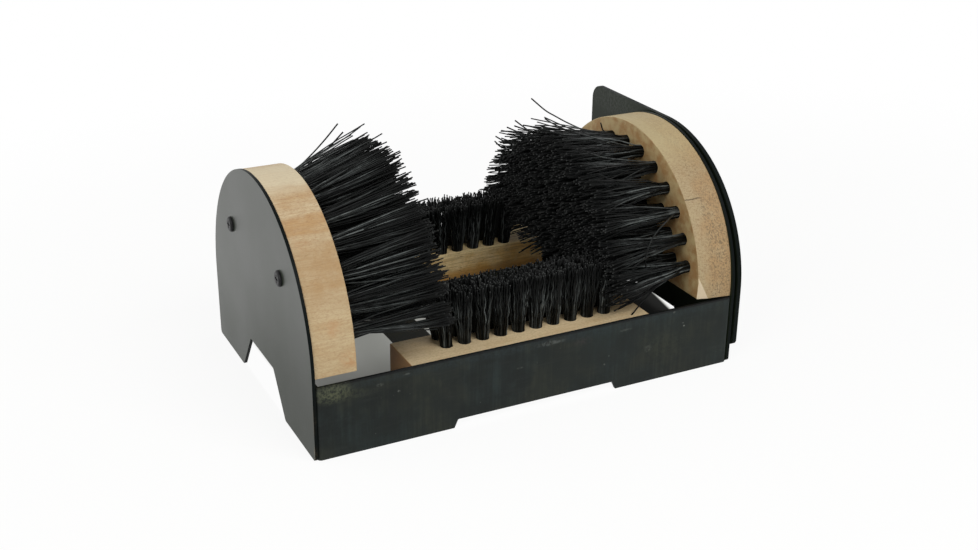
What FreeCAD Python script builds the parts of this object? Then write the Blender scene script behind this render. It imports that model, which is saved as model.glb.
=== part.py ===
import FreeCAD, Part
import math
import os
from FreeCAD import Vector

# Boot scrubber: a low tray of sheet steel with an arched plate at each end.
# A half-round wooden brush block is screwed inside each arch and two straight blocks lie on
# cross straps in the tray, so a boot is brushed on both flanks and under its sole.
# A scraper plate with a straight top edge stands off the right end plate.
# Lengths are in millimetres. X runs along the scrubber, Y from front to rear, Z up.
# Pieces are drawn with X = 0 midway between the end plates. They are written out moved so that
# the origin lies on the floor under the middle of the whole object, with its scraper.

# Driving dimensions
frame_length = 293.0
frame_depth = 190.0
sheet = 2.0
arch_spring_height = 50.0
wall_top_drop = 2.5
strap_top_height = 25.0
side_block_thickness = 26.0
side_bristle_length = 70.0
bottom_block_thickness = 20.0
bottom_bristle_length = 36.0
hole_clearance = 0.05
overrun = 5.0
smallest_edge = 0.001

# Places that follow from the driving dimensions
half_length = frame_length / 2
half_depth = frame_depth / 2
inner_half_length = half_length - sheet
inner_half_depth = half_depth - sheet
wall_height = arch_spring_height - wall_top_drop


def corner_tangents(before, corner, after, radius):
    """Where a rounding of the given radius starts, passes and ends at a corner of an outline."""
    to_before = (before - corner).normalize()
    to_after = (after - corner).normalize()
    half_angle = to_before.getAngle(to_after) / 2
    reach = radius / math.tan(half_angle)
    bisector = (to_before + to_after).normalize()
    middle = corner + bisector * (radius / math.sin(half_angle) - radius)
    return corner + to_before * reach, middle, corner + to_after * reach


def outline_face(corners):
    """A flat face from corners given as (point, radius), each rounded to its radius."""
    edges = []
    stops = []
    for index, (point, radius) in enumerate(corners):
        before = corners[index - 1][0]
        after = corners[(index + 1) % len(corners)][0]
        if radius > 0:
            start, middle, end = corner_tangents(before, point, after, radius)
            stops.append((start, end))
            edges.append(Part.Arc(start, middle, end).toShape())
        else:
            stops.append((point, point))
    for index, (start, end) in enumerate(stops):
        last_end = stops[index - 1][1]
        if last_end.distanceToPoint(start) > smallest_edge:
            edges.append(Part.makeLine(last_end, start))
    return Part.Face(Part.Wire(Part.__sortEdges__(edges)))


def plate_across(x_start, thickness, corners):
    """A plate that faces along X, from corners given as (y, z, radius)."""
    face = outline_face([(Vector(x_start, y, z), radius) for y, z, radius in corners])
    return face.extrude(Vector(thickness, 0, 0))


def plate_along(y_start, thickness, corners):
    """A plate that faces along Y, from corners given as (x, z, radius)."""
    face = outline_face([(Vector(x, y_start, z), radius) for x, z, radius in corners])
    return face.extrude(Vector(0, thickness, 0))


def block_between(low, high):
    """A rectangular block between its lowest and highest corners."""
    return Part.makeBox(high.x - low.x, high.y - low.y, high.z - low.z, low)


def turned_to_other_end(shape):
    """The same piece half a turn about the vertical: left becomes right and front becomes rear."""
    turned = shape.copy()
    turned.rotate(Vector(0, 0, 0), Vector(0, 0, 1), 180)
    return turned


def group(shapes):
    """Separate solids that share one node."""
    return Part.makeCompound(shapes)


# End plates: vertical below, half round above, with a trapezoid notch between two feet
notch_height = 27.0
notch_length_at_floor = 84.0
notch_length_at_top = 45.5
notch_corner_radius = 1.5
foot_corner_radius = 2.5


def end_plate_outline():
    """The end plate's corners. Its arch is two quarter rounds that meet at the crown."""
    crown = arch_spring_height + half_depth
    at_floor = notch_length_at_floor / 2
    at_top = notch_length_at_top / 2
    return [
        (-half_depth, 0, foot_corner_radius),
        (-at_floor, 0, notch_corner_radius),
        (-at_top, notch_height, notch_corner_radius),
        (at_top, notch_height, notch_corner_radius),
        (at_floor, 0, notch_corner_radius),
        (half_depth, 0, foot_corner_radius),
        (half_depth, crown, half_depth),
        (-half_depth, crown, half_depth),
    ]


def left_end_plate():
    """The left arched plate with the holes for its two block screws."""
    plate = plate_across(-half_length, sheet, end_plate_outline())
    return plate.cut(group([hole_along_x(place, screw_passage_radius) for place in block_screw_places()]))


# Front and rear walls: a low sheet between the end plates, cut away between its two feet, whose
# ends are bent inwards as flanges that are welded to the end plates
wall_cutout_height = 5.5
wall_cutout_length_at_floor = 114.5
wall_cutout_length_at_top = 109.5
wall_cutout_corner_radius = 0.8
flange_width = 14.0
flange_bend_radius = 0.5


def bent_wall_sheet():
    """The front wall seen from above as a shallow U, raised to its height."""
    outside = inner_half_length
    inside = inner_half_length - sheet
    front = -half_depth
    flange_end = front + flange_width
    outer_radius = flange_bend_radius + sheet
    corners = [
        (-outside, flange_end, 0),
        (-outside, front, outer_radius),
        (outside, front, outer_radius),
        (outside, flange_end, 0),
        (inside, flange_end, 0),
        (inside, front + sheet, flange_bend_radius),
        (-inside, front + sheet, flange_bend_radius),
        (-inside, flange_end, 0),
    ]
    face = outline_face([(Vector(x, y, 0), radius) for x, y, radius in corners])
    return face.extrude(Vector(0, 0, wall_height))


def front_wall():
    """The front wall. The rear wall is the same piece, turned."""
    at_top = wall_cutout_length_at_top / 2
    at_floor = wall_cutout_length_at_floor / 2
    slope = (at_floor - at_top) / wall_cutout_height
    below = at_floor + slope * overrun
    corners = [
        (-below, -overrun, 0),
        (below, -overrun, 0),
        (at_top, wall_cutout_height, wall_cutout_corner_radius),
        (-at_top, wall_cutout_height, wall_cutout_corner_radius),
    ]
    cutout = plate_along(-half_depth - overrun, sheet + 2 * overrun, corners)
    return bent_wall_sheet().cut(cutout)


# Cross straps: flat bars from wall to wall that carry the bottom blocks, with their ends
# turned down and welded to the walls, and a fixing hole in the middle
strap_width = 25.4
strap_spacing = 102.0
strap_tab_drop = 12.0
strap_bend_radius = 1.5
fixing_hole_radius = 3.0


def cross_strap(side):
    """The left strap for side -1, the right strap for side 1."""
    under = strap_top_height - sheet
    tab_end = strap_top_height - strap_tab_drop
    inside = inner_half_depth - sheet
    outer_radius = strap_bend_radius + sheet
    corners = [
        (-inner_half_depth, tab_end, 0),
        (-inside, tab_end, 0),
        (-inside, under, strap_bend_radius),
        (inside, under, strap_bend_radius),
        (inside, tab_end, 0),
        (inner_half_depth, tab_end, 0),
        (inner_half_depth, strap_top_height, outer_radius),
        (-inner_half_depth, strap_top_height, outer_radius),
    ]
    middle = side * strap_spacing / 2
    strap = plate_across(middle - strap_width / 2, strap_width, corners)
    holes = [hole_along_z(Vector(middle, 0, under), fixing_hole_radius)]
    for row in (-1, 1):
        place = Vector(middle, row * bottom_screw_row(), under)
        holes.append(hole_along_z(place, screw_passage_radius))
    return strap.cut(group(holes))


def hole_along_z(place, radius):
    """A drill through the strap at a place on its underside."""
    return Part.makeCylinder(radius, sheet + 2 * overrun, place - Vector(0, 0, overrun))


# Scraper plate: stands off the right end plate and follows its arch in front, while its top
# runs straight to the rear as the edge that mud is scraped off on
scraper_thickness = 3.0
scraper_gap = 3.0
scraper_inset = 1.0
scraper_rear_overhang = 1.4
scraper_floor_gap = 10.0
scraper_rear_radius = 11.0
scraper_foot_radius = 4.0


def scraper_plate():
    """The scraper plate with the holes for the right block's screws."""
    front_radius = half_depth - scraper_inset
    crown = arch_spring_height + front_radius
    rear = half_depth + scraper_rear_overhang
    corners = [
        (-front_radius, scraper_floor_gap, scraper_foot_radius),
        (rear, scraper_floor_gap, scraper_foot_radius),
        (rear, crown, scraper_rear_radius),
        (-front_radius, crown, front_radius),
    ]
    plate = plate_across(half_length + scraper_gap, scraper_thickness, corners)
    drills = group([hole_along_x(place, screw_passage_radius) for place in block_screw_places()])
    return plate.cut(turned_to_other_end(drills))


spacer_radius = 7.0


def scraper_spacers():
    """Two sleeves on the right block's screws that hold the scraper off the end plate."""
    spacers = []
    for y, z in block_screw_places():
        place = Vector(-half_length - scraper_gap, y, z)
        sleeve = Part.makeCylinder(spacer_radius, scraper_gap, place, Vector(1, 0, 0))
        bore = hole_along_x((y, z), screw_passage_radius)
        spacers.append(turned_to_other_end(sleeve.cut(bore)))
    return group(spacers)


# Side brush blocks: half-round wood inside each arch, bored for tufts on the inner face
side_block_inset = 1.4
side_block_lift = 1.2
left_block_foot_rise = 2.3
right_block_foot_rise_at_face = -0.2
right_block_foot_rise_at_plate = -2.3
wood_edge_radius = 0.6
facet_rise = 21.0
facet_run = 11.5
facet_depth = 1.5


def side_face():
    """X of the left block's bored face, which looks towards the middle."""
    return -inner_half_length + side_block_thickness


def side_block_radius():
    """The radius of the half-round blocks, a little inside the end plates' outline."""
    return half_depth - side_block_inset


def foot_offcut(rise_at_plate, rise_at_face):
    """What the saw takes off below a block's foot, with its height above the arch's spring."""
    at_plate = Vector(-inner_half_length, 0, arch_spring_height + rise_at_plate)
    at_face = Vector(side_face(), 0, arch_spring_height + rise_at_face)
    reach = (at_face - at_plate).normalize() * overrun
    start = at_plate - reach
    end = at_face + reach
    below = arch_spring_height - side_block_radius() - overrun
    corners = [(start.x, start.z, 0), (end.x, end.z, 0), (end.x, below, 0), (start.x, below, 0)]
    return plate_along(-half_depth, frame_depth, corners)


def side_block_blank(rise_at_plate, rise_at_face):
    """A block before it is bored: a half round with a sawn foot."""
    radius = side_block_radius()
    centre = arch_spring_height + side_block_lift
    corners = [
        (-radius, centre - radius, 0),
        (radius, centre - radius, 0),
        (radius, centre + radius, radius),
        (-radius, centre + radius, radius),
    ]
    blank = plate_across(-inner_half_length, side_block_thickness, corners)
    blank = blank.cut(foot_offcut(rise_at_plate, rise_at_face))
    return blank.makeFillet(wood_edge_radius, blank.Edges)


def side_block(rise_at_plate, rise_at_face):
    """A block at the left end with its tuft holes and the pilot holes of its screws."""
    drills = [tuft_hole(base, Vector(1, 0, 0)) for row in side_rows() for base, turn in row]
    for y, z in block_screw_places():
        start = Vector(-inner_half_length, y, z)
        drills.append(Part.makeCylinder(screw_pilot_radius, side_screw_bite(), start, Vector(1, 0, 0)))
    return side_block_blank(rise_at_plate, rise_at_face).cut(group(drills))


def corner_facet():
    """The wedge that is sawn off the right block's lower front corner, where it was clipped."""
    foot = arch_spring_height + right_block_foot_rise_at_face
    corner = Vector(-side_face(), -side_block_radius(), foot)
    stretch = 1 + overrun / facet_run + overrun / facet_depth + overrun / facet_rise
    tip = corner - Vector(overrun, overrun, overrun)
    along = tip + Vector(facet_run * stretch, 0, 0)
    inward = tip + Vector(0, facet_depth * stretch, 0)
    upward = tip + Vector(0, 0, facet_rise * stretch)
    triangles = [(tip, along, inward), (tip, inward, upward), (tip, upward, along), (along, upward, inward)]
    faces = [Part.Face(Part.makePolygon([a, b, c, a])) for a, b, c in triangles]
    return Part.makeSolid(Part.makeShell(faces))


def right_brush_block():
    """A block with a slanted foot, turned to the right end, with one corner clipped."""
    block = side_block(right_block_foot_rise_at_plate, right_block_foot_rise_at_face)
    return turned_to_other_end(block).cut(corner_facet())


# Bottom brush blocks: straight wood on the straps, one behind each wall. Both sit a little to
# the right of the frame's middle. They are drawn at the front, and the rear one is turned
bottom_block_length = 167.0
bottom_block_width = 37.0
bottom_block_wall_gap = 0.5
front_block_shift = 1.1
rear_block_shift = 3.2


def bottom_block_outer_y():
    """How far the front block's outer side lies in front of the middle."""
    return inner_half_depth - bottom_block_wall_gap


def bottom_block(shift):
    """A block at the front, this far right of the middle, with its tuft and pilot holes."""
    half_block = bottom_block_length / 2
    outer = -bottom_block_outer_y()
    top = strap_top_height + bottom_block_thickness
    low = Vector(shift - half_block, outer, strap_top_height)
    high = Vector(shift + half_block, outer + bottom_block_width, top)
    blank = block_between(low, high)
    blank = blank.makeFillet(wood_edge_radius, blank.Edges)
    drills = [tuft_hole(base, Vector(0, 0, 1)) for row in bottom_rows(shift) for base, tip in row]
    for side in (-1, 1):
        start = Vector(side * strap_spacing / 2, -bottom_screw_row(), strap_top_height)
        drills.append(Part.makeCylinder(screw_pilot_radius, bottom_screw_bite(), start))
    return blank.cut(group(drills))


# Tufts: each is a bundle of nylon folded over a flat wire anchor and driven into a blind hole.
# It leaves the wood as a round bundle and opens towards its tips, which are trimmed in one plane
tuft_radius = 4.1
tuft_root_depth = 12.0
tuft_tip_gap = 1.0
outer_row_margin = 12.6
inner_row_radius = 20.0
side_row_count = 5
least_side_tuft_pitch = 16.9
lowest_tuft_rise = 18.0
side_splay_share = 0.11
bottom_row_tufts = 10
bottom_tuft_pitch = 12.44
bottom_tuft_shift = 2.5
bottom_first_row = 22.0
bottom_row_pitch = 12.0
bottom_splay_share = 0.05


def side_row_radii():
    """The radii of the arcs of tufts, outermost first and evenly spaced."""
    outer = side_block_radius() - outer_row_margin
    pitch = (outer - inner_row_radius) / (side_row_count - 1)
    return [outer - index * pitch for index in range(side_row_count)]


def side_tip_radius():
    """The radius of a side tuft at its tips, where neighbouring arcs almost meet."""
    outer, inner = side_row_radii()[:2]
    return ((outer - inner) * (1 + side_splay_share) - tuft_tip_gap) / 2


def bottom_tip_radius():
    """The radius of a bottom tuft at its tips, where neighbours almost meet."""
    pitch = min(bottom_row_pitch, bottom_tuft_pitch)
    return (pitch * (1 + bottom_splay_share) - tuft_tip_gap) / 2


def side_row(radius):
    """One arc of the left brush, as (base point, turn about X in degrees) for each tuft."""
    low_angle = math.degrees(math.asin(min(1, lowest_tuft_rise / radius)))
    span = 180 - 2 * low_angle
    gaps = math.floor(math.radians(span) * radius / least_side_tuft_pitch)
    angles = [low_angle + span * index / gaps for index in range(gaps + 1)] if gaps > 0 else [90]
    row = []
    for angle in angles:
        across = radius * math.cos(math.radians(angle))
        above = radius * math.sin(math.radians(angle))
        row.append((Vector(side_face(), across, arch_spring_height + above), angle - 90))
    return row


def side_rows():
    """The arcs of the left brush, outermost first."""
    return [side_row(radius) for radius in side_row_radii()]


def bottom_rows(block_shift):
    """The two rows of a front brush, as (base point, tip point) for each tuft."""
    top = strap_top_height + bottom_block_thickness
    middle_line = -half_depth + bottom_first_row + bottom_row_pitch / 2
    rows = []
    for side in (-1, 1):
        across = side * bottom_row_pitch / 2
        row = []
        for index in range(bottom_row_tufts):
            along = (index - (bottom_row_tufts - 1) / 2) * bottom_tuft_pitch
            base = Vector(block_shift + bottom_tuft_shift + along, middle_line + across, top)
            spread = Vector(along * bottom_splay_share, across * bottom_splay_share, 0)
            row.append((base, base + spread + Vector(0, 0, bottom_bristle_length)))
        rows.append(row)
    return rows


def tuft_hole(base, outward):
    """The drill for one tuft, which also clears the wood in front of the face."""
    start = base - outward * tuft_root_depth
    return Part.makeCylinder(tuft_radius + hole_clearance, tuft_root_depth + overrun, start, outward)


anchor_depth_in_root = 9.0
anchor_height = 2.2
anchor_thickness = 0.5


def anchor_blank():
    """A flat piece of wire across a hole whose mouth is at the origin and faces +Z."""
    low = Vector(-tuft_radius, -anchor_thickness / 2, -anchor_depth_in_root - anchor_height)
    high = Vector(tuft_radius, anchor_thickness / 2, -anchor_depth_in_root)
    return block_between(low, high)


def tuft_blank(tip, tip_radius):
    """A tuft whose root is below the origin and whose bundle opens towards the given tip."""
    up = Vector(0, 0, 1)
    foot = Part.Wire(Part.makeCircle(tuft_radius, Vector(0, 0, 0), up))
    end = Part.Wire(Part.makeCircle(tip_radius, tip, up))
    bundle = Part.makeLoft([foot, end], True, True)
    root = Part.makeCylinder(tuft_radius, tuft_root_depth, Vector(0, 0, -tuft_root_depth))
    return bundle.fuse(root).cut(anchor_blank())


def laid_along_x(shape):
    """A tuft or anchor drawn upright, tipped over so that it points along X and leans along Z."""
    laid = shape.copy()
    laid.rotate(Vector(0, 0, 0), Vector(1, 1, 1), 120)
    return laid


def side_placed(shape, base, turn):
    """A tuft or anchor drawn upright, laid over and turned to its place in an arc."""
    placed = laid_along_x(shape)
    placed.rotate(Vector(0, 0, 0), Vector(1, 0, 0), turn)
    placed.translate(base)
    return placed


def bottom_brush_space():
    """The space that the two bottom brushes fill, which the side tufts stop short of."""
    opening = 1 + bottom_splay_share
    shifts = [front_block_shift + bottom_tuft_shift, rear_block_shift - bottom_tuft_shift]
    half_row = (bottom_row_tufts - 1) / 2 * bottom_tuft_pitch * opening + bottom_tip_radius()
    along = half_row + max(abs(shift) for shift in shifts)
    across = bottom_row_pitch / 2 * opening + bottom_tip_radius()
    middle_line = half_depth - bottom_first_row - bottom_row_pitch / 2
    top = strap_top_height + bottom_block_thickness + bottom_bristle_length
    spaces = []
    for side in (-1, 1):
        low = Vector(-along, side * middle_line - across, 0)
        high = Vector(along, side * middle_line + across, top)
        spaces.append(block_between(low, high))
    return group(spaces)


def side_tufts(row_index):
    """The tufts of one arc of the left brush, which lean outwards towards their tips."""
    lean = side_row_radii()[row_index] * side_splay_share
    blank = tuft_blank(Vector(0, lean, side_bristle_length), side_tip_radius())
    space = bottom_brush_space()
    tufts = []
    for base, turn in side_rows()[row_index]:
        pieces = side_placed(blank, base, turn).cut(space).Solids
        tufts.append(max(pieces, key=lambda piece: piece.Volume))
    return group(tufts)


def side_anchors():
    """The wire anchors of the left brush."""
    blank = anchor_blank()
    return group([side_placed(blank, base, turn) for row in side_rows() for base, turn in row])


def bottom_tufts(row_index, block_shift):
    """The tufts of one row of a front brush, the outer row first."""
    tufts = []
    for base, tip in bottom_rows(block_shift)[row_index]:
        tuft = tuft_blank(tip - base, bottom_tip_radius())
        tuft.translate(base)
        tufts.append(tuft)
    return group(tufts)


def bottom_anchors(block_shift):
    """The wire anchors of a front brush."""
    anchors = []
    for row in bottom_rows(block_shift):
        for base, tip in row:
            anchor = anchor_blank()
            anchor.translate(base)
            anchors.append(anchor)
    return group(anchors)


# Screws: pan heads with a cross recess, through the steel and into pilot holes in the wood
screw_shank_radius = 2.0
screw_passage_clearance = 0.3
screw_head_radius = 5.0
screw_head_height = 2.0
screw_head_edge_radius = 1.4
screw_point_length = 3.0
screw_end_gap = 0.5
recess_length = 5.2
recess_width = 1.1
recess_depth = 1.2
block_screw_spacing = 95.5
block_screw_shift = 2.5
block_screw_height = 96.5
wood_left_before_tufts = 1.5
bottom_screw_bite_share = 0.7
screw_passage_radius = screw_shank_radius + screw_passage_clearance
screw_pilot_radius = screw_shank_radius + hole_clearance


def block_screw_places():
    """The (y, z) of the two screws through the left end plate, a little behind its middle."""
    half_spacing = block_screw_spacing / 2
    return [(block_screw_shift + side * half_spacing, block_screw_height) for side in (-1, 1)]


def hole_along_x(place, radius):
    """A drill through the left end plate and the space where the scraper's spacers stand."""
    start = Vector(-half_length - scraper_gap - scraper_thickness - overrun, place[0], place[1])
    return Part.makeCylinder(radius, -start.x - inner_half_length + overrun, start, Vector(1, 0, 0))


def side_screw_bite():
    """How deep the side screws' pilot holes go, short of the tuft holes."""
    return side_block_thickness - tuft_root_depth - wood_left_before_tufts


def bottom_screw_bite():
    """How deep the bottom screws' pilot holes go."""
    return bottom_block_thickness * bottom_screw_bite_share


def bottom_screw_row():
    """How far the bottom screws lie from the middle: half way across the block's bare strip."""
    strip_outer = bottom_block_outer_y()
    strip_inner = half_depth - bottom_first_row + tuft_radius
    return (strip_outer + strip_inner) / 2


def screw(shank_length):
    """A screw whose head stands on the origin and whose shank points down."""
    head = Part.makeCylinder(screw_head_radius, screw_head_height)
    rim = [edge for edge in head.Edges if edge.BoundBox.ZMin > screw_head_height - smallest_edge]
    head = head.makeFillet(screw_head_edge_radius, rim)
    for length, width in ((recess_length, recess_width), (recess_width, recess_length)):
        low = Vector(-length / 2, -width / 2, screw_head_height - recess_depth)
        high = Vector(length / 2, width / 2, screw_head_height + overrun)
        head = head.cut(block_between(low, high))
    straight = shank_length - screw_point_length
    shank = Part.makeCylinder(screw_shank_radius, straight, Vector(0, 0, -straight))
    point = Part.makeCone(0, screw_shank_radius, screw_point_length, Vector(0, 0, -shank_length))
    return head.fuse([shank, point]).removeSplitter()


def side_screws(steel_ahead):
    """The two screws of the left block, with this much steel and spacer outside the end plate."""
    length = steel_ahead + sheet + side_screw_bite() - screw_end_gap
    screws = []
    for y, z in block_screw_places():
        piece = screw(length)
        piece.rotate(Vector(0, 0, 0), Vector(0, 1, 0), -90)
        piece.translate(Vector(-half_length - steel_ahead, y, z))
        screws.append(piece)
    return group(screws)


def bottom_screws():
    """The two screws that hold the front block to the straps from below."""
    screws = []
    for side in (-1, 1):
        piece = screw(sheet + bottom_screw_bite() - screw_end_gap)
        piece.rotate(Vector(0, 0, 0), Vector(1, 0, 0), 180)
        piece.translate(Vector(side * strap_spacing / 2, -bottom_screw_row(), strap_top_height - sheet))
        screws.append(piece)
    return group(screws)


def write_out(name, shape):
    """Moves a piece into the object's own frame and writes it as one file."""
    moved = shape.copy()
    moved.translate(Vector(-(scraper_gap + scraper_thickness) / 2, -scraper_rear_overhang / 2, 0))
    moved.exportStep("parts/" + name + ".step")
    print(name, len(moved.Solids), "solids,", round(moved.Volume / 1000, 1), "cm3, valid:", moved.isValid())


def main():
    os.makedirs("parts", exist_ok=True)
    write_out("left_end_plate", left_end_plate())
    write_out("right_end_plate", turned_to_other_end(left_end_plate()))
    write_out("front_wall", front_wall())
    write_out("rear_wall", turned_to_other_end(front_wall()))
    write_out("left_cross_strap", cross_strap(-1))
    write_out("right_cross_strap", cross_strap(1))
    write_out("scraper_plate", scraper_plate())
    write_out("scraper_spacers", scraper_spacers())
    write_out("left_brush_block", side_block(left_block_foot_rise, left_block_foot_rise))
    write_out("right_brush_block", right_brush_block())
    write_out("front_brush_block", bottom_block(front_block_shift))
    write_out("rear_brush_block", turned_to_other_end(bottom_block(-rear_block_shift)))
    for index in range(side_row_count):
        tufts = side_tufts(index)
        write_out("left_brush_tufts_row_" + str(index + 1), tufts)
        write_out("right_brush_tufts_row_" + str(index + 1), turned_to_other_end(tufts))
    for index in range(len(bottom_rows(front_block_shift))):
        tufts = bottom_tufts(index, front_block_shift)
        write_out("front_brush_tufts_row_" + str(index + 1), tufts)
        tufts = bottom_tufts(index, -rear_block_shift)
        write_out("rear_brush_tufts_row_" + str(index + 1), turned_to_other_end(tufts))
    write_out("left_brush_anchors", side_anchors())
    write_out("right_brush_anchors", turned_to_other_end(side_anchors()))
    write_out("front_brush_anchors", bottom_anchors(front_block_shift))
    write_out("rear_brush_anchors", turned_to_other_end(bottom_anchors(-rear_block_shift)))
    write_out("left_block_screws", side_screws(0))
    right_screws = side_screws(scraper_gap + scraper_thickness)
    write_out("right_block_screws", turned_to_other_end(right_screws))
    write_out("front_block_screws", bottom_screws())
    write_out("rear_block_screws", turned_to_other_end(bottom_screws()))


main()
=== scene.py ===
# %% [markdown]
# A boot scrubber: a low tray of black sheet steel with a half-round brush standing at each end, two
# straight brushes lying between them, and a scraper plate at the right. You put a boot in the
# channel and drag it through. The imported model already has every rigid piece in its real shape, so
# steel, wood and screws only need finishes here. Its tufts are plain cones, and those are what this
# lesson models: each cone is replaced by 64 single filaments.

import math

import bpy
import numpy as np
from mathutils import Matrix, Vector


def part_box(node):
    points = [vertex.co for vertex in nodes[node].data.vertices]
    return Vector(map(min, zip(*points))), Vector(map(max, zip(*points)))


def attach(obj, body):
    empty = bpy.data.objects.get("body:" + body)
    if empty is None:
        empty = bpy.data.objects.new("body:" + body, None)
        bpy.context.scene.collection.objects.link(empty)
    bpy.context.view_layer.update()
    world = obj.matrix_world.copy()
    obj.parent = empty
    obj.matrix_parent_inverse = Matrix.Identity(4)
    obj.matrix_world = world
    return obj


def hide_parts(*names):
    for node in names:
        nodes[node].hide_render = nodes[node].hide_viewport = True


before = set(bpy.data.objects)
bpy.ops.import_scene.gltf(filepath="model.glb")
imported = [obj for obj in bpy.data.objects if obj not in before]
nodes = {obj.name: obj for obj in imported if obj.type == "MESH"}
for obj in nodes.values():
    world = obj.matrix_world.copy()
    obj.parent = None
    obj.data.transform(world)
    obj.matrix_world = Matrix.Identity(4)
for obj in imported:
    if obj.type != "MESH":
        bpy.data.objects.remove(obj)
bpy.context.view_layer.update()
scene = bpy.context.scene
print("pieces from the packed model:", len(nodes))

# %% [markdown]
# Everything is in metres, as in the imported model, but a boot scrubber is thought of in millimetres.
# One named factor keeps the sizes below readable.

# %% Units
mm = 0.001

# %% [markdown]
# The camera stands to the left and in front, looking a little down, so that the outer face of the
# left end plate, the front wall and the bristles of the right brush all show. A photograph that was
# cropped keeps its old middle, which is why the lens is shifted slightly instead of being turned.
# Working from a heading, a dip and a roll is easier to reason about than from raw Euler angles.

# %% Camera
picture_width_px = 978
picture_height_px = 550
camera_place = Vector((-0.36238, -0.72657, 0.40868))
camera_heading = math.radians(27.058)
camera_dip = math.radians(22.255)
camera_roll = math.radians(0.612)
focal_length_px = 1321.12
sensor_width = 36.0
middle_right_px = -2.9
middle_down_px = -33.46


def camera_turn():
    """Turns a camera that looks straight down into one that looks at the scrubber."""
    heading = Matrix.Rotation(-camera_heading, 4, "Z")
    tilt = Matrix.Rotation(math.pi / 2 - camera_dip, 4, "X")
    roll = Matrix.Rotation(camera_roll, 4, "Z")
    return heading @ tilt @ roll


def point_on_plane(right_px, down_px, axis, value):
    """The point of the photograph's pixel that lies where x, y or z (axis 0, 1 or 2) has this value."""
    across = right_px - picture_width_px / 2 - middle_right_px
    below = down_px - picture_height_px / 2 - middle_down_px
    ray = camera_turn().to_3x3() @ Vector((across, -below, -focal_length_px))
    return camera_place + ray * ((value - camera_place[axis]) / ray[axis])


camera = bpy.data.objects.new("camera", bpy.data.cameras.new("camera"))
camera.matrix_world = Matrix.Translation(camera_place) @ camera_turn()
camera.data.sensor_width = sensor_width
camera.data.lens = focal_length_px / picture_width_px * sensor_width
camera.data.shift_x = -middle_right_px / picture_width_px
camera.data.shift_y = middle_down_px / picture_width_px
camera.data.clip_start = 0.01
scene.collection.objects.link(camera)
scene.camera = camera
print("lens", round(camera.data.lens, 2), "mm")

# %% [markdown]
# Materials are sums of masks, and sums read best when they are written as sums. So what comes out
# of a node is wrapped in a small class that can be added and multiplied like a number, and each
# sign makes one Math node. `put` joins such a value to an input, or writes a plain number there.
# Values that don't change over a surface stand on the shader's own sockets, where other programs
# can read them too.

# %% Values that come out of nodes


class Value:
    """What comes out of a node. The signs of arithmetic make Math nodes from it."""

    def __init__(self, socket):
        self.socket = socket
        self.tree = socket.id_data

    def __add__(self, other):
        return math_node("ADD", self, other)

    def __sub__(self, other):
        return math_node("SUBTRACT", self, other)

    def __rsub__(self, other):
        return math_node("SUBTRACT", other, self)

    def __mul__(self, other):
        return math_node("MULTIPLY", self, other)

    def __truediv__(self, other):
        return math_node("DIVIDE", self, other)

    def __pow__(self, other):
        return math_node("POWER", self, other)

    def __abs__(self):
        return math_node("ABSOLUTE", self)


def put(value, target):
    """Joins a value to an input socket, or writes a number, a tuple or a colour on it."""
    if isinstance(value, Value):
        value.tree.links.new(value.socket, target)
    else:
        target.default_value = value


def put_all(sockets, values):
    """Puts several values on the sockets with these names or numbers."""
    for name, value in values.items():
        put(value, sockets[name])


def add_node(tree, kind, inputs=None, **settings):
    """A new node with its settings and what goes into it."""
    node = tree.nodes.new(kind)
    for name, value in settings.items():
        setattr(node, name, value)
    put_all(node.inputs, inputs or {})
    return node


def output_of(tree, kind, output, inputs=None, **settings):
    """One output of a new node, as a value."""
    return Value(add_node(tree, kind, inputs, **settings).outputs[output])


def math_node(operation, first, second=None):
    """A Math node. At least one of its operands is a value, and the other may be a number."""
    tree = (first if isinstance(first, Value) else second).tree
    inputs = {0: first} if second is None else {0: first, 1: second}
    return output_of(tree, "ShaderNodeMath", "Value", inputs, operation=operation)


def larger(first, *others):
    """The largest of several values."""
    for other in others:
        first = math_node("MAXIMUM", first, other)
    return first


print("helpers for nodes: Value, put, put_all, add_node, output_of, math_node, larger")

# %% [markdown]
# Every finish below is made from the same few things: a place in space that is scaled or turned,
# noise over it, a range of the noise that is spread out to a mask, and a mask that blends one colour
# into the next. So each of those is one short function.

# %% Patterns, masks and colours


def axes_of(vector):
    """The X, Y and Z of a vector."""
    return [Value(out) for out in add_node(vector.tree, "ShaderNodeSeparateXYZ", {"Vector": vector}).outputs]


def length_of(vector):
    """How long a vector is."""
    return output_of(vector.tree, "ShaderNodeVectorMath", "Value", {0: vector}, operation="LENGTH")


def spread(value, low, high, to_low=0.0, to_high=1.0):
    """Maps a value from one range to another, with soft ends, and holds it there."""
    inputs = {"Value": value, "From Min": low, "From Max": high, "To Min": to_low, "To Max": to_high}
    return output_of(value.tree, "ShaderNodeMapRange", "Result", inputs, interpolation_type="SMOOTHSTEP")


def blend(share, first, second):
    """The first colour at share 0 and the second at share 1. Each is a tuple or a value."""
    node = add_node(share.tree, "ShaderNodeMix", {"Factor": share}, data_type="RGBA")
    for name, colour in (("A", first), ("B", second)):
        socket = next(s for s in node.inputs if s.name == name and s.type == "RGBA")
        put((*colour, 1.0) if isinstance(colour, tuple) else colour, socket)
    return Value(next(s for s in node.outputs if s.type == "RGBA"))


def noise(vector, scale=1.0, detail=2.0, roughness=0.5, distortion=0.0):
    """Cloudy noise over a vector in millimetres. Scale is in lumps per millimetre."""
    inputs = {"Vector": vector, "Scale": scale, "Detail": detail}
    inputs.update({"Roughness": roughness, "Distortion": distortion})
    return output_of(vector.tree, "ShaderNodeTexNoise", "Fac", inputs)


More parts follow.
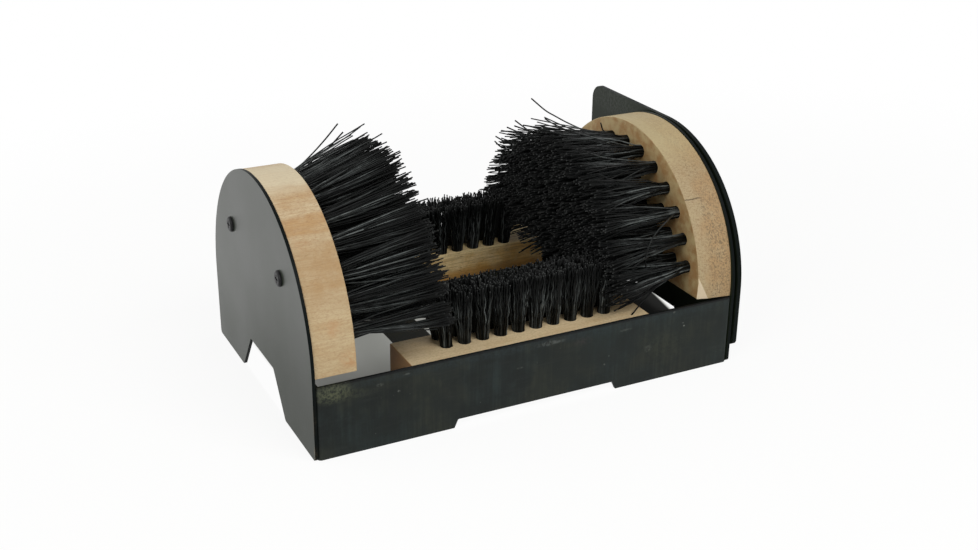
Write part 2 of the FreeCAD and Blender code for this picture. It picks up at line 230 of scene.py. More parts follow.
def stretched(vector, scale=(1.0, 1.0, 1.0), turn=(0.0, 0.0, 0.0), move=(0.0, 0.0, 0.0)):
    """A vector scaled, turned and moved before it reaches a pattern."""
    inputs = {"Vector": vector, "Scale": scale, "Rotation": turn, "Location": move}
    return output_of(vector.tree, "ShaderNodeMapping", "Vector", inputs)


print("helpers for patterns: axes_of, length_of, spread, blend, noise, stretched")

# %% [markdown]
# An effect that several materials share is a node group: built once, placed in each of them with
# its own values. The groups here take a vector in millimetres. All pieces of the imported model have
# the same origin, so a place in object space means the same place in every material.

# %% Groups and materials


def new_group(name, inputs, outputs):
    """A node group over a vector, with its other inputs by name, and the sockets of its end."""
    group = bpy.data.node_groups.new(name, "ShaderNodeTree")
    group.interface.new_socket(name="Vector", in_out="INPUT", socket_type="NodeSocketVector")
    for socket, value in inputs.items():
        made = group.interface.new_socket(name=socket, in_out="INPUT", socket_type="NodeSocketFloat")
        made.default_value = value
    for socket in outputs:
        group.interface.new_socket(name=socket, in_out="OUTPUT", socket_type="NodeSocketFloat")
    start = group.nodes.new("NodeGroupInput")
    end = group.nodes.new("NodeGroupOutput")
    return group, {out.name: Value(out) for out in start.outputs if out.name}, end.inputs


def use_group(group, vector, **values):
    """The outputs, by name, of a group placed in a material with its vector and its own values."""
    inputs = {name.replace("_", " ").title(): value for name, value in values.items()}
    node = add_node(vector.tree, "ShaderNodeGroup", {"Vector": vector, **inputs}, node_tree=group)
    return {out.name: Value(out) for out in node.outputs}


def new_material(name):
    """A material, the sockets of its Principled shader, and its place on the object in millimetres."""
    material = bpy.data.materials.new(name)
    material.use_nodes = True
    tree = material.node_tree
    place = output_of(tree, "ShaderNodeTexCoord", "Object")
    return material, tree.nodes["Principled BSDF"].inputs, stretched(place, scale=(1 / mm, 1 / mm, 1 / mm))


def raise_surface(shader, height, depth_mm, rounding_mm=0.0):
    """Feeds a height in parts of a depth in millimetres to the shader's normal, over rounded edges."""
    inputs = {"Strength": 1.0, "Distance": depth_mm * mm, "Height": height}
    if rounding_mm:
        radius = {"Radius": rounding_mm * mm}
        inputs["Normal"] = output_of(height.tree, "ShaderNodeBevel", "Normal", radius, samples=6)
    put(output_of(height.tree, "ShaderNodeBump", "Normal", inputs), shader["Normal"])


print("helpers for finishes: new_group, use_group, new_material, raise_surface")

# %% [markdown]
# The floor that is made in the next cell glows a little, and this cell says how much in and round
# the tray. Inside the tray the ground carries painted shade: its colour is darker and its glow faint
# and a little green, fainter still under the left brush and along the rear wall, and all but gone at
# the right end. By the notch of the left plate and under the cut-out of the front wall it is painted
# white, painted light over the shadow there. Each zone ends at a soft edge, given as two distances
# in millimetres from a plate, a wall or the middle.

# %% Painted shade on the ground
painted_glow_inside = 0.185
glow_slant = 0.5
glow_from_front_to_rear = (-75.0, 5.0, 0.55, 1.22)
painted_white_by_left_notch = 0.97
glow_kept_at_right_end = 0.02
painted_ground_inside = 0.30
painted_ground_at_right_end = 0.03
kept_in_painted_deep_shade = 0.2
middle_of_cutout = -3
half_of_cutout = 54
slant_of_right_edge = 0.17
edge_of_cutout = (2, 10)
edge_of_notch_shade = (11, 19)
edge_of_right_shade = (-90, -50)
edge_under_left_brush = (52, 58)
edge_of_left_brush = (-35, -45)
edge_before_rear_wall = (-14, -4)
edge_past_right = (5, 9)
edge_past_plate = (-7, -5)
edge_of_right_notch = (33, 37)
edge_past_left = (0, -3)
edge_past_front = (16, 13)
edge_under_front_wall = (-8, 2)
edge_in_rear_cutout = (2, 8)
edge_past_rear = (12, 22)


def beyond(value, place, edge):
    """1 past a place and 0 before it, over an edge given as two distances from the place."""
    return spread(value, place + edge[0], place + edge[1])


def shade_of_tray(in_mm):
    """The painted shade of the tray: its glow and the ground's share of white, and three masks: of the
    floor outside, of the strip under the front wall's cut-out, and of where the glow has no tint."""
    along, depth, _ = axes_of(in_mm)
    left_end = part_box("left_end_plate")[1].x / mm
    right_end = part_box("scraper_plate")[1].x / mm
    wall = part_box("front_wall")[0].y / mm
    from_left = beyond(along, left_end, edge_of_notch_shade)
    from_right = beyond(along, right_end, edge_of_right_shade)
    inner_glow = spread(along * glow_slant + depth, *glow_from_front_to_rear) * painted_glow_inside
    # Painted shade: the ground is darker under the left brush and along the rear wall.
    painted_shade_under_left_brush = beyond(depth, 0, edge_under_left_brush) * beyond(along, 0, edge_of_left_brush)
    deep = larger(painted_shade_under_left_brush, beyond(depth, -wall, edge_before_rear_wall))
    kept = spread(deep, 0.0, 1.0, 1.0, kept_in_painted_deep_shade)
    # Painted light by the left plate's notch, painted shade in the rest of the tray, almost black at the
    # right end.
    glow = (inner_glow * kept - painted_white_by_left_notch) * from_left + painted_white_by_left_notch
    glow = glow * spread(from_right, 0.0, 1.0, 1.0, glow_kept_at_right_end)
    # Painted shade: the ground's own colour is darker in the tray, darkest at the right end.
    ground = spread(from_right, 0.0, 1.0, painted_ground_inside, painted_ground_at_right_end) * kept
    past_right = beyond(along - depth * slant_of_right_edge, right_end, edge_past_right)
    past_plate = beyond(abs(depth), 0, edge_of_right_notch) * beyond(along, right_end, edge_past_plate)
    past_left = beyond(along, left_end, edge_past_left)
    past_front = beyond(depth, wall, edge_past_front)
    past_cutout = beyond(abs(along - middle_of_cutout), half_of_cutout, edge_of_cutout)
    # A strip behind the rear wall, wider behind its cut-out, keeps the painted shade of the tray.
    past_rear = larger(past_cutout * beyond(depth, -wall, edge_in_rear_cutout),
                       beyond(depth, -wall, edge_past_rear))
    # Painted light: the strip under the front wall's cut-out.
    front_cutout = beyond(depth, wall, edge_under_front_wall) * (1.0 - past_cutout) * past_front
    outside = larger(past_right, past_plate, past_left, past_front, past_rear)
    return glow, ground, outside, front_cutout, larger(outside, 1.0 - from_left)


print("ground in the tray:", painted_ground_inside, "of white, and", painted_ground_at_right_end, "at the right end")

# %% [markdown]
# The floor is matt white. Lit at a plain level, a white floor renders as pale grey, so it also
# glows, but only where the camera or a reflection sees it. The glow lights nothing. Round the
# scrubber it thins the shadow out, and further away it is full, so that the floor turns into a
# plain white background. What the glow adds, the floor's own colour gives up. The sky works in the
# same way: white where it is seen, and grey where it lights.

# %% Floor and sky
floor_half_size = 8.0
floor_white = 0.93
floor_tint = (0.995, 1.0, 0.965)
floor_cloud = (0.985, 1.0)
glow_near = 0.89
painted_white_in_front_cutout = 0.95
painted_shade_tint = (0.985, 1.0, 0.93)
pure_white = (1.0, 1.0, 1.0)
reach_of_near = (230 * mm, 700 * mm)
narrowing_of_near = 0.75
sky_light = 0.38


def seen_directly(tree):
    """1 for rays from the camera and for what shows in gloss or through glass, else 0."""
    path = add_node(tree, "ShaderNodeLightPath").outputs
    return larger(*(Value(path["Is " + ray + " Ray"]) for ray in ("Camera", "Glossy", "Transmission")))


def floor_material():
    """Matt white with painted shade in the tray, where its glow is faint and its colour darker, and a full
    glow far from it.
    """
    material, shader, in_mm = new_material("floor_white")
    away = length_of(stretched(in_mm, scale=(narrowing_of_near * mm, mm, 0.0)))
    inside, ground, outside, front_cutout, untinted = shade_of_tray(in_mm)
    # Painted light: under the front wall's cut-out the glow is whiter than round it.
    near = inside + (glow_near - inside) * outside + front_cutout * (painted_white_in_front_cutout - glow_near)
    glow = (near + (1.0 - near) * spread(away, *reach_of_near)) * seen_directly(in_mm.tree)
    cloud = spread(noise(in_mm, scale=0.004, detail=3.0), 0.3, 0.7, *floor_cloud)
    # Painted shade: in the tray the floor's own colour is darkened.
    tone = cloud * larger(ground, outside) * (floor_white - glow * floor_white)
    tones = {index: tone * tint for index, tint in enumerate(floor_tint)}
    put_all(shader, {
        "Base Color": output_of(in_mm.tree, "ShaderNodeCombineColor", "Color", tones),
        "Roughness": 0.95,
        "Specular IOR Level": 0.0,
        "Emission Color": blend(untinted, painted_shade_tint, pure_white),
        "Emission Strength": glow,
    })
    return material


def make_floor():
    """One large square at floor height."""
    half = floor_half_size
    mesh = bpy.data.meshes.new("floor")
    corners = [(-half, -half, 0), (half, -half, 0), (half, half, 0), (-half, half, 0)]
    mesh.from_pydata(corners, [], [(0, 1, 2, 3)])
    mesh.materials.append(floor_material())
    floor = bpy.data.objects.new("floor", mesh)
    scene.collection.objects.link(floor)


def make_sky():
    """White where it is seen, soft grey where it only lights."""
    world = bpy.data.worlds.new("sky")
    world.use_nodes = True
    tree = world.node_tree
    strength = spread(seen_directly(tree), 0.0, 1.0, sky_light, 1.0)
    put_all(tree.nodes["Background"].inputs, {"Color": (*pure_white, 1.0), "Strength": strength})
    scene.world = world


make_floor()
make_sky()
scene.view_settings.view_transform = "Standard"
print("floor", floor_half_size * 2, "m wide")

# %% [markdown]
# Three soft lamps do what a photographer's table does. A large one in front, above and to the right
# opens up the wood and leaves the ground under the right brush dark. A broad one at the rear left
# slides along the left end plate and the bristles and gives them their grey sheen. A weak fill from
# the left front reaches the inner face of the right block. Soft lamps are large for their distance.
# Each is described by where it stands and what it looks at, because that is how one thinks of them.

# %% Lamps
middle_of_scrubber = Vector((0.0, 0.0, 0.07))


def make_lamp(name, place, width, height, power):
    """A rectangular soft lamp that looks at the scrubber. Sizes in metres, power in watts."""
    lamp = bpy.data.objects.new(name, bpy.data.lights.new(name, "AREA"))
    lamp.data.shape = "RECTANGLE"
    lamp.data.size = width
    lamp.data.size_y = height
    lamp.data.energy = power
    lamp.location = place
    lamp.rotation_mode = "QUATERNION"
    lamp.rotation_quaternion = (middle_of_scrubber - Vector(place)).to_track_quat("-Z", "Y")
    scene.collection.objects.link(lamp)


make_lamp("lamp_front", place=(0.45, -1.2, 1.35), width=1.1, height=0.9, power=17.0)
make_lamp("lamp_rear_left", place=(-1.5, 0.8, 0.75), width=1.2, height=1.0, power=7.5)
make_lamp("lamp_left_fill", place=(-1.3, -0.8, 1.0), width=0.9, height=0.9, power=9.5)

# %% [markdown]
# Soft cloudy variation is in every finish on the scrubber: paint that went on a little thicker
# here, wood that drank more there. One group makes it at two sizes, and each material
# sets how large its clouds and its grain are.

# %% Group: mottle


def make_mottle_group():
    """Cloud and Grain, each from 0 to 1 with most of it near the middle."""
    group, start, end = new_group("mottle", {"Cloud Scale": 0.03, "Grain Scale": 1.0}, ("Cloud", "Grain"))
    for name, detail in (("Cloud", 3.0), ("Grain", 2.0)):
        put(spread(noise(start["Vector"], start[name + " Scale"], detail), 0.25, 0.75), end[name])
    return group


mottle_group = make_mottle_group()
print("group:", mottle_group.name)

# %% [markdown]
# Edges of painted steel and of screw heads are rubbed first, and a sharp wooden edge gets polished
# by hands. Cycles can compare a surface's normal with the one it would have if its edges were
# rounded: where the two differ, an edge is near. Noise breaks the line up, so that the rubbing
# comes and goes along the edge.

# %% Group: edge rub


def make_edge_group():
    """Rub, which is 1 on an edge and 0 away from it, broken up by noise."""
    group, start, end = new_group("edge_rub", {"Reach": 0.5 * mm, "Patchiness": 0.5}, ("Rub",))
    rounded = output_of(group, "ShaderNodeBevel", "Normal", {"Radius": start["Reach"]}, samples=4)
    normals = {0: rounded, 1: output_of(group, "ShaderNodeNewGeometry", "Normal")}
    likeness = output_of(group, "ShaderNodeVectorMath", "Value", normals, operation="DOT_PRODUCT")
    shown = noise(start["Vector"], scale=0.35, detail=3.0) - start["Patchiness"] * 0.6
    put(spread(likeness, 0.99, 0.85) * spread(shown, 0.0, 0.25), end["Rub"])
    return group


edge_group = make_edge_group()
print("group:", edge_group.name)

# %% [markdown]
# The steel is sprayed with black paint. The broad faces of the plates got a full wet coat that dried
# to a semi-gloss, and their cut edges and the low walls only a thin dull one. That is why the left
# end plate looks grey and its rim black: a glossy black mirrors the white floor when it is seen at a
# flat angle. So the dull paint is the base of this material, and the gloss is a coat over it, which a
# mask lets through on faces that look along X. On the rims of the glossy plates the colour is painted
# darker still, painted shade for the dark things they mirror. Close up there is orange peel, and dust
# specks under the film.

# %% Material: black paint
paint_dark = (0.0060, 0.0078, 0.0072)
paint_light = (0.0120, 0.0155, 0.0138)
paint_film = (0.030, 0.033, 0.031)
rubbed_paint = (0.075, 0.078, 0.072)
rim_painted_shade = (0.0014, 0.0030, 0.0027)
haze_dark = (0.009, 0.0132, 0.0066)
haze_light = (0.016, 0.0218, 0.0128)
coat_share = 0.63
coat_lost_at_foot = 0.42
coat_lost_at_heel = 0.14
core_of_mark = 0.25
plate_low, plate_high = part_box("left_end_plate")
plate_foot = (plate_low.x / mm, plate_low.y / mm + 20, -15.0)
plate_heel = (plate_low.x / mm, plate_high.y / mm, 0.0)
reach_of_foot = (60, 190, 125)
reach_of_heel = (60, 75, 60)


def broad_faces(tree):
    """1 on faces that look along X, and 0 on rims."""
    return spread(abs(axes_of(output_of(tree, "ShaderNodeTexCoord", "Normal"))[0]), 0.75, 0.95)


def near_point(in_mm, point, reach):
    """1 at a point given in millimetres, fading to 0 at the reach along each axis."""
    shifted = stretched(in_mm, move=tuple(-value for value in point))
    scaled = stretched(shifted, scale=tuple(1 / value for value in reach))
    return spread(length_of(scaled), 1.0, core_of_mark)


def black_paint(name, gloss=0.0, marks=(), extra=None):
    """Sprayed black paint, with a coat if it has gloss. Marks are (point, reach, colour, share)."""
    material, shader, in_mm = new_material(name)
    mottle = use_group(mottle_group, in_mm, cloud_scale=0.02, grain_scale=0.9)
    rub = use_group(edge_group, in_mm, reach=0.45 * mm, patchiness=0.9)["Rub"]
    colour = blend(mottle["Cloud"], paint_dark, paint_light)
    if gloss:
        broad = broad_faces(in_mm.tree)
        colour = blend(broad, colour, blend(mottle["Cloud"], haze_dark, haze_light))
    brushed = noise(stretched(in_mm, scale=(0.5, 0.5, 0.02)), detail=3.0, roughness=0.6)
    colour = blend(spread(brushed, 0.45, 0.75, 0.0, 0.2), colour, haze_light)
    dragged = noise(stretched(in_mm, scale=(0.03, 0.2, 0.28)), detail=4.0, roughness=0.65)
    colour = blend(spread(dragged, 0.5, 0.85, 0.0, 0.35), colour, paint_film)
    cells = {"Vector": in_mm, "Scale": 0.11, "Randomness": 1.0}
    speck = spread(output_of(in_mm.tree, "ShaderNodeTexVoronoi", "Distance", cells), 0.055, 0.025)
    colour = blend(speck * 0.5, colour, rubbed_paint)
    if extra:
        colour = extra(in_mm, colour)
    for point, reach, mark_colour, share in marks:
        broken = spread(noise(in_mm, scale=0.45, detail=4.0, roughness=0.7), 0.35, 0.65)
        colour = blend(near_point(in_mm, point, reach) * broken * share, colour, mark_colour)
    colour = blend(rub * 0.3, colour, rubbed_paint)
    if gloss:
        # Painted shade: rims of plates with gloss are painted darker, for the dark things they mirror.
        colour = blend((1.0 - broad) * 0.8, colour, rim_painted_shade)
        coat = coat_share - near_point(in_mm, plate_foot, reach_of_foot) * coat_lost_at_foot
        coat = coat - near_point(in_mm, plate_heel, reach_of_heel) * coat_lost_at_heel
        put_all(shader, {"Coat Weight": coat * gloss * broad, "Coat IOR": 1.65, "Coat Roughness": 0.30})
    roughness = spread(mottle["Cloud"], 0, 1, 0.42, 0.52)
    put_all(shader, {"Base Color": colour, "Roughness": roughness})
    shader["Specular IOR Level"].default_value = 0.05 if gloss else 0.16
    raise_surface(shader, noise(in_mm, scale=0.55, detail=1.0) + speck, depth_mm=0.02, rounding_mm=0.4)
    return material


print("share of the coat on broad faces:", coat_share)

# %% [markdown]
# The left end plate, the scraper, the right end plate and the walls get the same paint with less
# and less gloss. The walls also carry faint olive and blue clouds with upright streaks, a bluish
# painted highlight along their top and a painted shade line on the top edge, and boots have left
# chalky, olive and clay-coloured marks. The scraper is a lighter grey near its top. Those are placed
# one by one: each is a point, how far it reaches along each axis, a colour and a share.

# %% The four paints, and the marks on them
wall_low, wall_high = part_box("front_wall")
wall_top = wall_high.z / mm
wall_front = wall_low.y / mm
wall_middle = (wall_low.x + wall_high.x) / 2 / mm
olive = (0.078, 0.085, 0.050)
chalk = (0.30, 0.31, 0.28)
clay = (0.16, 0.115, 0.060)
bluish_painted_highlight = (0.020, 0.030, 0.034)
pinkish = (0.040, 0.032, 0.031)
lighter_grey = (0.065, 0.074, 0.066)
patina_olive = (0.0205, 0.0235, 0.0175)
patina_blue = (0.0160, 0.0240, 0.0232)
top_edge_painted_shade = (0.002, 0.002, 0.002)
marks_on_wall = (
    # Bluish band along the wall's top: painted highlight of its top edge.
    ((wall_middle, wall_front, wall_top - 3), (260, 6, 4.5), bluish_painted_highlight, 0.40),
    ((wall_low.x / mm + 10, wall_front, wall_top - 5), (16, 9, 9), olive, 0.95),
    ((wall_low.x / mm + 24, wall_front, wall_top - 9), (18, 9, 5), olive, 0.18),
    ((-96.4, wall_front, 34.1), (1.2, 1.6, 0.9), chalk, 0.75),
    ((-91.1, wall_front, 44.1), (3.0, 3.0, 0.9), chalk, 0.15),
    ((-108.2, wall_front, 40.9), (3.5, 3.0, 1.6), chalk, 0.12),
    ((45.1, wall_front, 19.5), (1.0, 2.0, 0.9), chalk, 0.45),
    ((48.2, wall_front, 24.9), (0.9, 2.0, 0.8), chalk, 0.30),
    ((103.9, wall_front, 36.5), (0.9, 2.0, 0.8), chalk, 0.40),
    ((104.9, wall_front, 34.3), (1.0, 2.0, 0.8), chalk, 0.60),
    ((96.6, wall_front, 45.4), (1.3, 2.0, 0.9), chalk, 0.40),
    ((77.8, wall_front, 23.9), (4.0, 3.0, 3.0), chalk, 0.10),
    ((5.5, wall_front, 43.3), (13.0, 4.0, 2.2), chalk, 0.17),
    ((59.4, wall_front, 40.7), (7.0, 3.0, 1.2), chalk, 0.12),
    ((-15.9, wall_front, 30.9), (3.0, 3.0, 1.0), chalk, 0.12),
    ((28.0, wall_front, 39.5), (10.0, 3.0, 4.0), pinkish, 0.40),
    ((90.0, wall_front, 24.0), (26.0, 4.0, 16.0), olive, 0.10),
)
marks_on_plate = (
    ((-149.5, -95.7, 5.0), (3.0, 2.2, 7.0), clay, 0.55),
    ((-149.5, -95.7, 26.0), (3.0, 1.6, 12.0), clay, 0.30),
)
# A lighter grey patch near the top of the scraper.
marks_on_scraper = (((146.5, 68.5, 138.6), (6.0, 55.0, 17.0), lighter_grey, 0.45),)


def worn_wall(in_mm, colour):
    """Faint olive and blue clouds with upright streaks, and a painted shade line along the wall's top edge.
    """
    hue = spread(noise(in_mm, scale=0.035, detail=3.0), 0.40, 0.62)
    cloud = spread(noise(in_mm, scale=0.07, detail=4.0, roughness=0.6), 0.36, 0.68, 0.12, 0.75)
    upright = stretched(in_mm, scale=(0.45, 0.45, 0.015), move=(5.0, 0.0, 0.0))
    streak = spread(noise(upright, detail=4.0, roughness=0.65), 0.40, 0.66, 0.50, 1.35)
    colour = blend(cloud * streak, colour, blend(hue, patina_blue, patina_olive))
    # Painted shade: a black line along the top edge of the wall.
    line = spread(axes_of(in_mm)[2], wall_top - 1.5, wall_top - 0.9, 0.0, 0.9)
    return blend(line, colour, top_edge_painted_shade)


paint_of_plates = black_paint("black_paint_plates", gloss=1.0, marks=marks_on_plate)
paint_of_scraper = black_paint("black_paint_scraper", gloss=0.24, marks=marks_on_scraper)
paint_of_right_end = black_paint("black_paint_right_end", gloss=0.04)
paint_of_walls = black_paint("black_paint_walls", marks=marks_on_wall, extra=worn_wall)
print("paints made: 4")

# %% [markdown]
# The blocks are bare sanded hardwood. Its figure has three scales: broad warm bands from the growth
# rings, finer streaks that follow the fibres, and tiny dark dashes where pores were cut open. One
# group makes all three from a vector whose X runs along the fibres, so a block only has to be
# turned and stretched into that direction before it goes in.

# %% Group: wood figure


def make_wood_group():
    """Band, Streak and Pore of wood whose fibres run along the vector's X, in millimetres."""
    scales = {"Band Scale": 0.06, "Fibre Scale": 1.6}
    group, start, end = new_group("wood_figure", scales, ("Band", "Streak", "Pore"))
    along = start["Vector"]
    broad = noise(stretched(along, scale=(0.16, 1.0, 0.8)), start["Band Scale"], 3.0, distortion=0.6)
    fine = noise(stretched(along, scale=(0.05, 1.0, 1.0)), start["Fibre Scale"], 3.0, roughness=0.6)
    dashes = noise(stretched(along, scale=(0.28, 1.6, 1.6), move=(31.0, 7.0, 3.0)), detail=1.0)
    put(spread(broad, 0.36, 0.68), end["Band"])
    put(spread(fine, 0.3, 0.7), end["Streak"])
    put(spread(dashes, 0.66, 0.76), end["Pore"])
    return group


wood_group = make_wood_group()
print("group:", wood_group.name)

# %% [markdown]
# The four blocks come from different boards. On the left rim warm rings cross from front to back at
# certain heights. The right block is pale beside the bristles and warmer and speckled beside the
# plate, and has a drying crack and a corner that a plane has touched. The straight blocks show
# long streaks on their sides. So each block has a list of bands along one of its axes: how warm the wood
# is at each place. Noise bends the bands, and a colour ramp blends them.

# %% Material: sanded wood
share_of_loose_bands = 0.38
share_of_clouds = 0.30
patch_range = (0.64, 1.22)
grain_share = 0.16
rub_share = 0.35
rim_brightness = 1.12
pore_depth = 1.5


def bands_along(in_mm, axis, waver, stops):
    """Warmth from 0 to 1 along an axis, from (place in mm, warmth) stops, bent by noise."""
    place = axes_of(in_mm)[axis] + (noise(in_mm, scale=0.045, detail=3.0) - 0.5) * waver
    low, high = stops[0][0], stops[-1][0]
    limits = {"Value": place, "From Min": low, "From Max": high}
    share = output_of(in_mm.tree, "ShaderNodeMapRange", "Result", limits)
    ramp = add_node(in_mm.tree, "ShaderNodeValToRGB", {"Fac": share})
    elements = ramp.color_ramp.elements
    while len(elements) < len(stops):
        elements.new(0.5)
    for element, (place_mm, warmth) in zip(elements, stops):
        element.position = (place_mm - low) / (high - low)
        element.color = (warmth, warmth, warmth, 1.0)
    return Value(ramp.outputs["Color"])


def sanded_wood(name, pale, warm, dark, bands, streak_share, pore_share, speckle_share=0.25,
                waver=5.0, fibre_turn=(0, 0, 0), extra=None):
    """Bare wood. Bands are (axis, stops), and extra adds marks to the colour before it is used."""
    material, shader, in_mm = new_material(name)
    wood = use_group(wood_group, stretched(in_mm, turn=fibre_turn), band_scale=0.07, fibre_scale=1.1)
    mottle = use_group(mottle_group, in_mm, cloud_scale=0.06, grain_scale=1.6)
    rub = use_group(edge_group, in_mm, reach=0.8 * mm, patchiness=0.4)["Rub"]
    patches = spread(noise(in_mm, scale=0.10, detail=3.0, roughness=0.6), 0.3, 0.7, *patch_range)
    loose = (wood["Band"] - 0.5) * share_of_loose_bands + (mottle["Cloud"] - 0.5) * share_of_clouds
    warmth = bands_along(in_mm, bands[0], waver, bands[1]) * patches + loose
    colour = blend(spread(warmth, 0.0, 1.0), pale, warm)
    colour = blend(wood["Streak"] * streak_share, colour, dark)
    colour = blend(wood["Pore"] * pore_share, colour, dark)
    speckle = noise(stretched(in_mm, scale=(0.6, 1.0, 1.0)), detail=4.0, roughness=0.7)
    colour = blend(spread(speckle, 0.44, 0.68, 0.0, speckle_share), colour, dark)
    colour = blend(spread(mottle["Grain"], 0.2, 0.9, 0.0, grain_share), colour, warm)
    if extra:
        colour = extra(in_mm, colour)
    colour = blend(rub * rub_share, colour, tuple(min(1.0, rim_brightness * value) for value in pale))
    roughness = spread(wood["Streak"], 0, 1, 0.55, 0.66)
    put_all(shader, {"Base Color": colour, "Roughness": roughness, "Specular IOR Level": 0.3})
    raise_surface(shader, wood["Streak"] - wood["Pore"] * pore_depth, depth_mm=0.05)
    return material


print("warmth varies from patch to patch by", patch_range)

# %% [markdown]
# The marks on single blocks are small functions that take the colour so far and give it back
# changed. The left rim gets painted shade, darker downwards and most of all half way down; it is
# paler on the crown and has three faint reddish stains. The right block has a browner face, a pale
# crown, the crack, the planed corner painted paler as painted light, and dots that grow stronger
# downwards. The ends and the lower edges of the straight blocks are a darker brown.

# %% Marks on the blocks
left_painted_shade = (0.32, 0.235, 0.115)
left_painted_shade_middle = (0.27, 0.150, 0.058)
left_crown = (0.72, 0.65, 0.47)
stain_red = (0.40, 0.215, 0.095)
stains = (
    ((-134.0, -90.0, 80.0), 0.5),
    ((-125.0, -93.0, 61.0), 0.75),
    ((-141.0, -60.0, 124.0), 0.35),
)
right_face_pale = (0.480, 0.360, 0.175)
right_face_brown = (0.345, 0.185, 0.066)
right_crown = (0.480, 0.395, 0.215)
crack_dark = (0.055, 0.030, 0.014)
planed_painted_light = (0.62, 0.51, 0.36)
dot_brown = (0.14, 0.100, 0.055)
end_and_foot_brown = (0.31, 0.150, 0.048)
crack_height = 111.3
crack_reach = 16.0
planed_width = 9.0
planed_rise = 17.0


def mark_left_block(in_mm, colour):
    """Painted shade darker downwards and half way down, a paler crown and three reddish stains on the left
    rim.
    """
    up = axes_of(in_mm)[2]
    # Painted shade: the rim darker downwards, most of all half way down.
    colour = blend(spread(up, 141.0, 108.0, 0.0, 0.40), colour, left_painted_shade)
    middle = spread(up, 130.0, 119.0) * spread(up, 84.0, 95.0)
    colour = blend(middle * 0.22, colour, left_painted_shade_middle)
    colour = blend(spread(up, 139.5, 144.0, 0.0, 0.5), colour, left_crown)
    broken = spread(noise(in_mm, scale=0.22, detail=4.0, roughness=0.65), 0.35, 0.65)
    for point, share in stains:
        colour = blend(near_point(in_mm, point, (9, 11, 8)) * broken * share, colour, stain_red)
    return colour


def mark_right_block(in_mm, colour):
    """A browner face, a pale crown, a crack from the inner edge, a planed corner at the foot painted paler
    as painted light, and dots.
    """
    along, depth, up = axes_of(in_mm)
    right_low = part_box("right_brush_block")[0]
    inward = along - right_low.x / mm
    on_face = broad_faces(in_mm.tree)
    on_rim = 1.0 - on_face
    at_front = spread(depth, -10.0, -30.0) * on_rim
    patchy = spread(noise(in_mm, scale=0.12, detail=4.0, roughness=0.6), 0.35, 0.65)
    colour = blend(on_face * 0.85, colour, blend(patchy, right_face_pale, right_face_brown))
    colour = blend(spread(up, 124.0, 141.0, 0.0, 0.55) * on_rim, colour, right_crown)
    wave = noise(stretched(in_mm, scale=(0.13, 0.02, 0.02))) - 0.5
    off_line = abs(up - crack_height + wave * 3.5)
    crack = spread(off_line, 0.5, 0.1) * spread(inward, crack_reach, 9.0) * (at_front * 0.75)
    colour = blend(crack, colour, crack_dark)
    # Painted light: the planed corner is painted paler, for the light its facet catches.
    corner = inward / planed_width + (up - right_low.z / mm) / planed_rise
    colour = blend(spread(corner, 1.05, 0.97) * at_front * 0.85, colour, planed_painted_light)
    dots = noise(stretched(in_mm, scale=(1.0, 0.7, 0.7)), detail=3.0, roughness=0.65)
    dots = spread(dots, 0.50, 0.60) * spread(up, 130.0, 90.0, 0.25, 0.75)
    return blend(dots * (spread(inward, 7.0, 12.0) * on_rim), colour, dot_brown)


def darker_ends_and_foot(side):
    """Makes the function that browns the two ends of a straight block and its lower edges."""
    block_low, block_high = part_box(side + "_brush_block")

    def browned(in_mm, colour):
        along, _, up = axes_of(in_mm)
        from_left = along - block_low.x / mm
        from_right = block_high.x / mm - along
        end = spread(math_node("MINIMUM", from_left, from_right), 0.8, 0.1, 0.0, 0.9)
        foot = block_low.z / mm
        # Darker towards the foot of the block, more so to the right.
        low = spread(up, foot + 9, foot, 0.0, 0.5) * spread(from_left, 20.0, 160.0, 0.7, 1.2)
        return blend(larger(end, low), colour, end_and_foot_brown)
    return browned


print("stains on the left rim:", len(stains))

# %% [markdown]
# The heights of the rings on the left rim and the widths of the bands on the other blocks are
# listed here, from the crown down and from the bristles to the plate.

# %% The four woods
quarter = math.pi / 2
rings_on_left = (
    (52, 0.42), (60, 0.22), (75, 0.30), (86, 0.36), (96, 0.30), (99, 0.55), (101.5, 1.0),
    (104, 0.88), (107, 0.66), (114, 0.72), (120, 0.62), (123, 0.32), (125, 0.30), (126.3, 0.85),
    (127.5, 0.50), (129, 0.90), (132, 0.85), (133.6, 0.28), (136.2, 0.26), (137.2, 0.62),
    (138.5, 0.42), (141.6, 0.36), (142.6, 0.66), (143.4, 0.15), (145, 0.05),
)
across_right = ((115.5, 0.0), (120, 0.08), (125, 0.42), (130, 0.68), (136, 0.85), (141.5, 0.95))
up_front = ((25, 0.85), (37, 0.60), (43, 0.40), (45, 0.30))
up_rear = ((25, 1.0), (31, 0.60), (36, 0.35), (41, 0.45), (43.5, 0.30), (45, 0.05))

